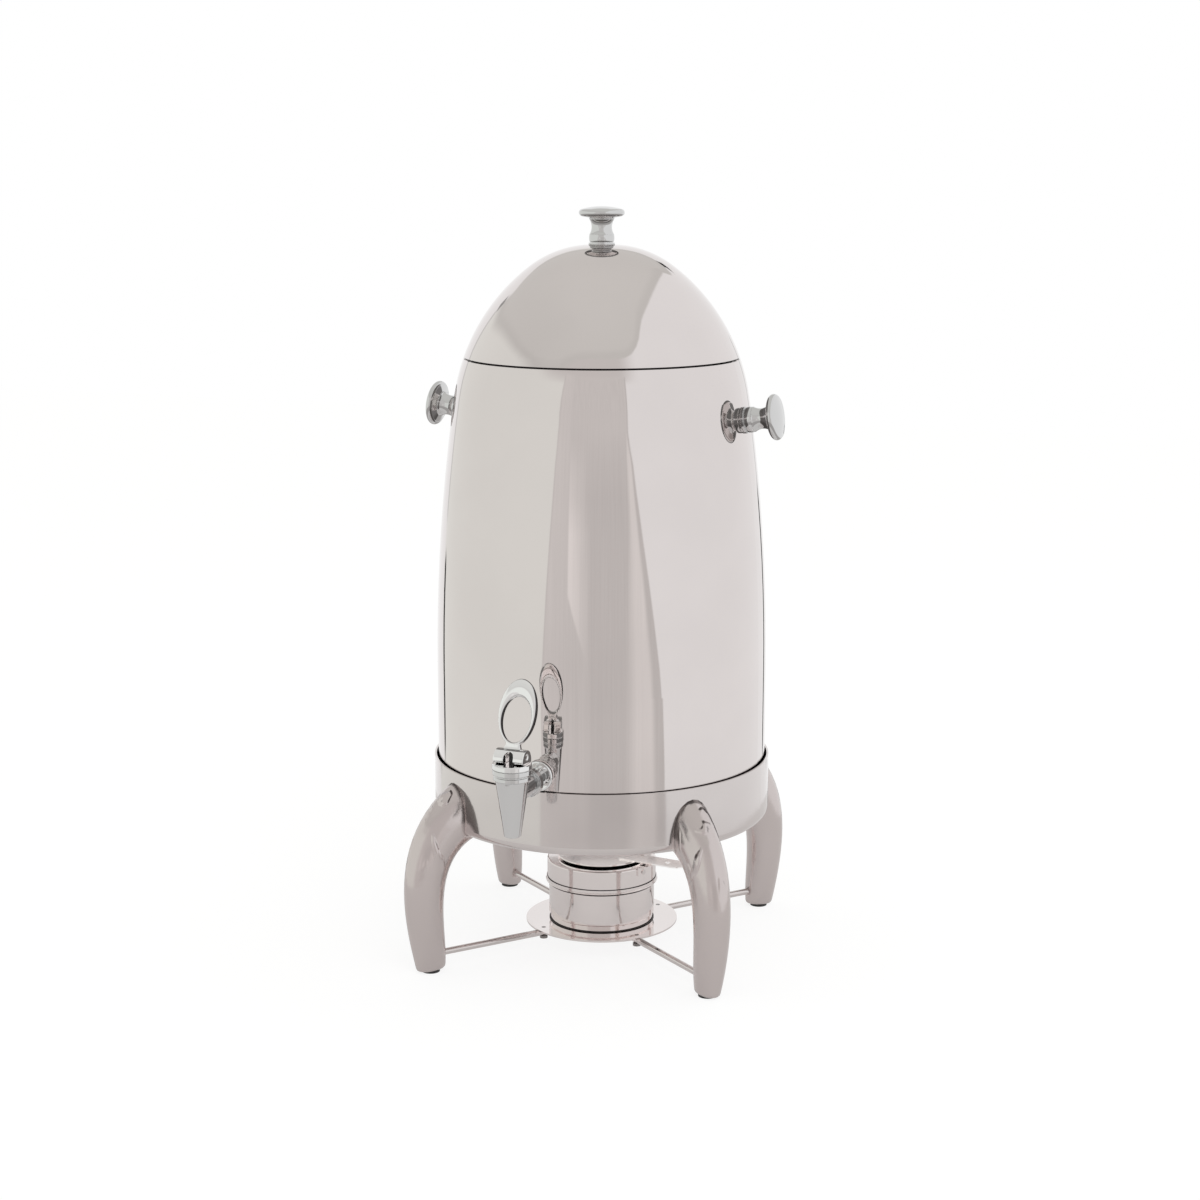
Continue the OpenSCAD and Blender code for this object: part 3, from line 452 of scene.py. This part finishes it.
def make_table():
    """The pale table top, seen in the steel alone: the floor stands in for it to the camera."""
    bpy.ops.mesh.primitive_circle_add(
        vertices=TABLE_EDGES, radius=TABLE_RADIUS, fill_type="NGON", location=(0, 0, TABLE_Z)
    )
    table = bpy.context.object
    table.name = "table"
    material, g = new_material("table_white")
    paint = g.add("ShaderNodeBsdfDiffuse")
    g.set(paint.inputs["Color"], TABLE_PAINT)
    glow = g.add("ShaderNodeEmission")
    bounces = g.add("ShaderNodeLightPath").outputs["Glossy Depth"]
    deep = g.times(g.smooth(bounces, *TABLE_DEEP_FADE), TABLE_DEEP_GLOW)
    g.set(glow.inputs["Strength"], g.plus(deep, TABLE_GLOW))
    lit = g.add("ShaderNodeAddShader")
    g.set(lit.inputs[0], paint.outputs[0])
    g.set(lit.inputs[1], glow.outputs[0])
    g.finish("ShaderNodeOutputMaterial", lit.outputs[0])
    table.data.materials.append(material)
    table.visible_camera = False
    table.visible_diffuse = False
    table.visible_shadow = False


KEY_PLACE = (1.2, -1.6, 2.2)
KEY_AIM = (0, 0, 0.3)
KEY_SIZE = 1.6
KEY_POWER = 12


def make_key_light():
    """One soft lamp at the front right, for the floor's shadow and the dull parts."""
    data = bpy.data.lights.new("key", "AREA")
    data.shape = "RECTANGLE"
    data.size = KEY_SIZE
    data.size_y = KEY_SIZE
    data.energy = KEY_POWER
    light = bpy.data.objects.new("key", data)
    bpy.context.collection.objects.link(light)
    light.location = KEY_PLACE
    light.rotation_euler = (Vector(KEY_AIM) - Vector(KEY_PLACE)).to_track_quat("-Z", "Y").to_euler()
    light.visible_glossy = False


# ---- Finishes ----

STEEL_TINT = (0.70, 0.655, 0.645)
# Dark of the painted shade in joints and gaps, and of the painted dark reflection on the lever
PAINTED_DARK = (0.05, 0.045, 0.045)
# Faint blotches of tone, and polishing marks that change the gloss: how many a metre holds, and how strong
BLOTCHES = 9
BLOTCH_FADE = (0.35, 0.65)
POLISHING = 900
GLOSS_CHANGE = 0.15
# Samples with which softened edges are found
EDGE_SAMPLES = 8
# Creases of the legs' castings: upright ones, on the shoulders alone, which lie between two heights
CREASES = 55
CREASE_STRETCH = (1.3, 1.3, 0.35)
CREASE_FADE = (0.55, 0.67)
SHOULDER_FADE = (0.095, 0.125)
# The open joint between vessel and lid: painted shade darkens the steel of both there, from low to high
RIM_IN_SHADOW = 0.0012
LID_IN_SHADOW = 0.0008
SEAM_SHADE = (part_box("vessel_rim")[1][2] - RIM_IN_SHADOW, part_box("lid_shell")[0][2] + LID_IN_SHADOW)
SEAM_SHADE_BLUR = 0.0003
# The lever's ring grows out of its neck here; above it a painted dark reflection lies on its right-hand
# flanks
LEVER_NECK = 0.015
LOOP_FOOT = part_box("bonnet")[1][2] + LEVER_NECK
PAINTED_REFLECTION_BLUR = 0.005
PAINTED_REFLECTION_FADE = (0.48, 0.72)


def tinted(level):
    return tuple(level * c for c in STEEL_TINT)


def metal_paint(g, colour, stain, painted_shade_band, painted_reflection_above):
    darker = tuple(c * (1 - stain) for c in colour)
    paint = g.mix(g.smooth(g.noise(BLOTCHES, detail=3), *BLOTCH_FADE), darker, colour)
    # Painted shade: a dark band between two heights, where a joint between parts lies in shadow
    if painted_shade_band:
        height = g.object_height()
        low, high = painted_shade_band
        above = g.smooth(height, low - SEAM_SHADE_BLUR, low)
        below = g.smooth(height, high + SEAM_SHADE_BLUR, high)
        paint = g.mix(g.times(above, below), paint, PAINTED_DARK)
    # Painted reflection: right-facing flanks above a height are painted dark, as if they mirrored something
    # dark
    if painted_reflection_above:
        sideways = g.dot(g.add("ShaderNodeNewGeometry").outputs["Normal"], (1, 0, 0))
        painted_reflection_side = g.smooth(sideways, *PAINTED_REFLECTION_FADE)
        above = g.smooth(g.object_height(), painted_reflection_above, painted_reflection_above + PAINTED_REFLECTION_BLUR)
        paint = g.mix(g.times(painted_reflection_side, above), paint, PAINTED_DARK)
    return paint


def metal_normal(g, wave, wave_scale, round_off, creases):
    """None where the surface is as the mesh has it."""
    normal = None
    if round_off:
        edge = g.add("ShaderNodeBevel", samples=EDGE_SAMPLES)
        edge.inputs["Radius"].default_value = round_off
        normal = edge.outputs[0]
    if wave:
        normal = g.bump(g.noise(wave_scale, detail=1), wave, normal=normal)
    if creases:
        folds = g.smooth(g.noise(CREASES, detail=1, stretch=CREASE_STRETCH), *CREASE_FADE)
        on_shoulder = g.smooth(g.object_height(), *SHOULDER_FADE)
        normal = g.bump(g.times(folds, on_shoulder), creases, normal=normal)
    return normal


def metal(name, colour, roughness, wave=0.0, wave_scale=0.0, stain=0.03, round_off=0.0, creases=0.0,
          painted_shade_band=None, painted_reflection_above=None):
    """Metal with a faint change of tone and gloss.

    wave is the depth of soft waves in the sheet and wave_scale how many a metre holds. stain is how much
    darker the blotches are, round_off the radius of softened edges, and creases the depth of a casting's
    creases. Painted shade darkens the metal between the heights of the second last argument, and a
    painted dark reflection darkens right-hand flanks above the height of the last one.
    """
    material, g = new_material(name)
    shader = g.add("ShaderNodeBsdfPrincipled")
    shader.inputs["Metallic"].default_value = 1.0
    g.set(shader.inputs["Base Color"], metal_paint(g, colour, stain, painted_shade_band, painted_reflection_above))
    marks = g.noise(POLISHING, detail=1)
    sharp = roughness * (1 - GLOSS_CHANGE)
    dull = roughness * (1 + GLOSS_CHANGE)
    g.set(shader.inputs["Roughness"], g.line(marks, (NOISE_LOW, sharp), (NOISE_HIGH, dull)))
    g.set(shader.inputs["Normal"], metal_normal(g, wave, wave_scale, round_off, creases))
    g.finish("ShaderNodeOutputMaterial", shader.outputs[0])
    return material


# Scale, darkness and depth of rubber's grain
GRAIN = 2500
GRAIN_SHADE = 0.8
GRAIN_DEPTH = 0.00005


def rubber(name, colour, roughness):
    material, g = new_material(name)
    shader = g.add("ShaderNodeBsdfPrincipled")
    grain = g.noise(GRAIN, detail=2)
    g.set(shader.inputs["Base Color"], g.mix(grain, tuple(c * GRAIN_SHADE for c in colour), colour))
    shader.inputs["Roughness"].default_value = roughness
    g.set(shader.inputs["Normal"], g.bump(grain, GRAIN_DEPTH))
    g.finish("ShaderNodeOutputMaterial", shader.outputs[0])
    return material


METALS = {
    "mirror_steel": dict(colour=tinted(1.0), roughness=0.04, wave=0.00025, wave_scale=7),
    "stand_steel": dict(colour=tinted(0.94), roughness=0.1, wave=0.0004, wave_scale=14),
    "leg_steel": dict(
        colour=(0.595, 0.54, 0.53), roughness=0.15, wave=0.0006, wave_scale=20,
        round_off=0.006, creases=0.0022
    ),
    # Steel of the damper: near white, painted light that makes up for the shade under the vessel
    "damper_steel_painted_lighter": dict(colour=(1.0, 0.98, 0.97), roughness=0.12, wave=0.0001, wave_scale=20),
    "burner_steel": dict(colour=tinted(1.10), roughness=0.09, wave=0.0002, wave_scale=20),
    "plain_steel": dict(colour=tinted(0.95), roughness=0.12, wave=0.0001, wave_scale=20),
    "chrome": dict(
        colour=(0.62, 0.62, 0.62), roughness=0.03, wave=0.00004, wave_scale=40,
        stain=0.01, round_off=0.0006
    ),
    # The lever's chrome: painted lighter than the faucet's chrome as painted light, with a painted dark
    # reflection on its right-hand flanks
    "lever_chrome": dict(
        colour=(0.84, 0.84, 0.84), roughness=0.03,
        stain=0.01, painted_reflection_above=LOOP_FOOT
    ),
    # Chrome of the shank and bonnet: painted lighter than the faucet's chrome, painted light for a brighter
    # highlight
    "chrome_painted_lighter": dict(colour=(0.78, 0.78, 0.78), roughness=0.03, stain=0.01, round_off=0.0006),
    # Steel of the vessel's rim and the lid's collar, with painted shade along the joint between them
    "seam_steel_painted_shade": dict(colour=tinted(0.95), roughness=0.2, painted_shade_band=SEAM_SHADE),
    # Near black for the rings of painted shade in the fuel holder's gaps
    "painted_shade": dict(colour=PAINTED_DARK, roughness=0.4),
    "dark_steel": dict(colour=(0.25, 0.235, 0.23), roughness=0.3)
}
RUBBERS = {
    # Near black for the valve stem, partly its rubber and partly painted shade that darkens the lever's slot
    "stem": dict(colour=(0.02, 0.02, 0.02), roughness=0.4),
    "black_rubber": dict(colour=(0.03, 0.03, 0.03), roughness=0.6),
    "silicone": dict(colour=(0.75, 0.73, 0.70), roughness=0.5)
}
# Nodes whose finish is finer than that of their slot in the record
FINER = {
    "leg_steel": ("leg_front_left", "leg_front_right", "leg_back_right", "leg_back_left"),
    "damper_steel_painted_lighter": ("damper_plate", "damper_handle"),
    "dark_steel": ("rod_screws",),
    "seam_steel_painted_shade": ("vessel_rim", "lid_collar"),
    "lever_chrome": ("lever",),
    "chrome_painted_lighter": ("faucet_shank", "bonnet"),
    "stem": ("valve_stem",)
}


def make_finishes():
    finishes = {name: metal(name, **look) for name, look in METALS.items()}
    finishes.update({name: rubber(name, **look) for name, look in RUBBERS.items()})
    return finishes


def dress(finishes):
    """Gives every CAD node its finish."""
    wanted = {part["node"]: part["material_slot"] for part in frame["record"]["subparts"]}
    wanted.update({node: finish for finish, nodes in FINER.items() for node in nodes})
    for name, node in frame["nodes"].items():
        node.data.materials.clear()
        node.data.materials.append(finishes[wanted[name]])


# ---- Pieces that the frame doesn't carry ----


def add_piece(name, mesh, body, material):
    piece = bpy.data.objects.new(name, mesh)
    bpy.context.collection.objects.link(piece)
    mesh.materials.clear()
    mesh.materials.append(material)
    mesh.polygons.foreach_set("use_smooth", [True] * len(mesh.polygons))
    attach(piece, body)
    return piece


def soften(mesh, passes, weight_at):
    """Draws points towards their neighbours, as polishing rounds a casting; weight_at gives it by height."""
    points = np.empty(len(mesh.vertices) * 3)
    mesh.vertices.foreach_get("co", points)
    points = points.reshape(-1, 3)
    edges = np.empty(len(mesh.edges) * 2, dtype=int)
    mesh.edges.foreach_get("vertices", edges)
    edges = edges.reshape(-1, 2)
    here, there = np.concatenate([edges, edges[:, ::-1]]).T
    count = np.bincount(here, minlength=len(points))[:, None]
    weight = 0.5 * weight_at(points[:, 2])[:, None]
    for _ in range(passes):
        sums = [np.bincount(here, points[there, axis], len(points)) for axis in range(3)]
        points = points + weight * (np.stack(sums, 1) / count - points)
    mesh.vertices.foreach_set("co", points.ravel())
    mesh.update()


# The lever's casting: the grain of its mesh, how often it is softened, and how little below the ring
CASTING_VOXEL = 0.00045
CASTING_PASSES = 36
HUB_SOFTENING = 0.15
HUB_FADE = 0.004


def casting_weight(height):
    """How much the casting is softened: fully on the ring, little on the neck and hub below it."""
    return np.clip((height - LOOP_FOOT) / HUB_FADE, HUB_SOFTENING, 1)


def make_lever_casting(material):
    """The lever's own form with its edges rolled over, as on a polished casting; it stands for the node."""
    draft = bpy.data.objects.new("draft", frame["nodes"]["lever"].data.copy())
    bpy.context.collection.objects.link(draft)
    remesh = draft.modifiers.new("remesh", "REMESH")
    remesh.mode = "VOXEL"
    remesh.voxel_size = CASTING_VOXEL
    mesh = bpy.data.meshes.new_from_object(draft.evaluated_get(bpy.context.evaluated_depsgraph_get()))
    bpy.data.objects.remove(draft)
    soften(mesh, CASTING_PASSES, casting_weight)
    piece = add_piece("lever_casting", mesh, "lever", material)
    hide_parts("lever")


def make_spring(material):
    """The closing spring as a piece of its own on the vessel; in the urn the rising stem squeezes it against
    the plug above it.
    """
    mesh = frame["nodes"]["closing_spring"].data.copy()
    piece = add_piece("spring_coils", mesh, "vessel", material)
    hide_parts("closing_spring")
    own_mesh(piece)


BEAD_TURNS = 160
BEAD_SIDES = 12


def make_bead(name, body, material, radius, height, thickness):
    """A ring of round section about the burner's axis, for a rolled edge or for painted shade: a dark ring
    where parts meet.
    """
    points = []
    for turn in range(BEAD_TURNS):
        at = 2 * math.pi * turn / BEAD_TURNS
        for side in range(BEAD_SIDES):
            round_at = 2 * math.pi * side / BEAD_SIDES
            reach = radius + thickness * math.cos(round_at)
            rise = thickness * math.sin(round_at)
            points.append((reach * math.cos(at), reach * math.sin(at), height + rise))
    faces = []
    for turn in range(BEAD_TURNS):
        here = turn * BEAD_SIDES
        ahead = (turn + 1) % BEAD_TURNS * BEAD_SIDES
        for side in range(BEAD_SIDES):
            after = (side + 1) % BEAD_SIDES
            faces.append((here + side, ahead + side, ahead + after, here + after))
    mesh = bpy.data.meshes.new(name)
    mesh.from_pydata(points, [], faces)
    add_piece(name, mesh, body, material)


# Half thickness of each bead on the fuel holder
HEM_BEAD = 0.0008
RIM_BEAD = 0.0006
GAP_SHADE_BEAD = 0.0005
LINE_SHADE_BEAD = 0.0003
# Height of the cover's hem, and how far the beads lie inside the edges that they follow
HEM_HEIGHT = 0.004
HEM_INSET = 0.0003
LINE_INSET = 0.0009
RIM_INSET = 0.0017
RIM_DROP = 0.001
CUP_GAP_INSET = 0.0006


def make_holder_edges(painted_shade, steel):
    """Rolled hems of the fuel holder's cover, and dark rings of painted shade in the gaps beside them."""
    cup_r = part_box("fuel_cup")[1][0]
    cover_low, cover_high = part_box("fuel_cover")
    cover_r = cover_high[0]
    hem_z = cover_low[2]
    rim_z = cover_high[2]
    plate_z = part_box("burner_plate")[1][2]
    # Painted shade: dark rings under the cover's hem, along the top of the hem and at the cup's foot
    make_bead("cover_gap_shade", "holder_cover", painted_shade, cup_r + GAP_SHADE_BEAD, hem_z - HEM_BEAD - GAP_SHADE_BEAD, GAP_SHADE_BEAD)
    line_z = hem_z + HEM_HEIGHT + LINE_SHADE_BEAD
    make_bead("hem_shade_line", "holder_cover", painted_shade, cover_r - LINE_INSET, line_z, LINE_SHADE_BEAD)
    make_bead("cup_gap_shade", "fuel_holder", painted_shade, cup_r - CUP_GAP_INSET, plate_z + CUP_GAP_INSET, GAP_SHADE_BEAD)
    make_bead("cover_hem", "holder_cover", steel, cover_r - HEM_INSET, hem_z + HEM_BEAD, HEM_BEAD)
    make_bead("cover_rim", "holder_cover", steel, cover_r - RIM_INSET, rim_z - RIM_DROP, RIM_BEAD)


make_camera()
make_world()
make_floor()
make_table()
make_key_light()
FINISHES = make_finishes()
dress(FINISHES)
make_spring(FINISHES["plain_steel"])
make_lever_casting(FINISHES["lever_chrome"])
make_holder_edges(FINISHES["painted_shade"], FINISHES["burner_steel"])

bpy.context.scene.view_settings.view_transform = "Standard"
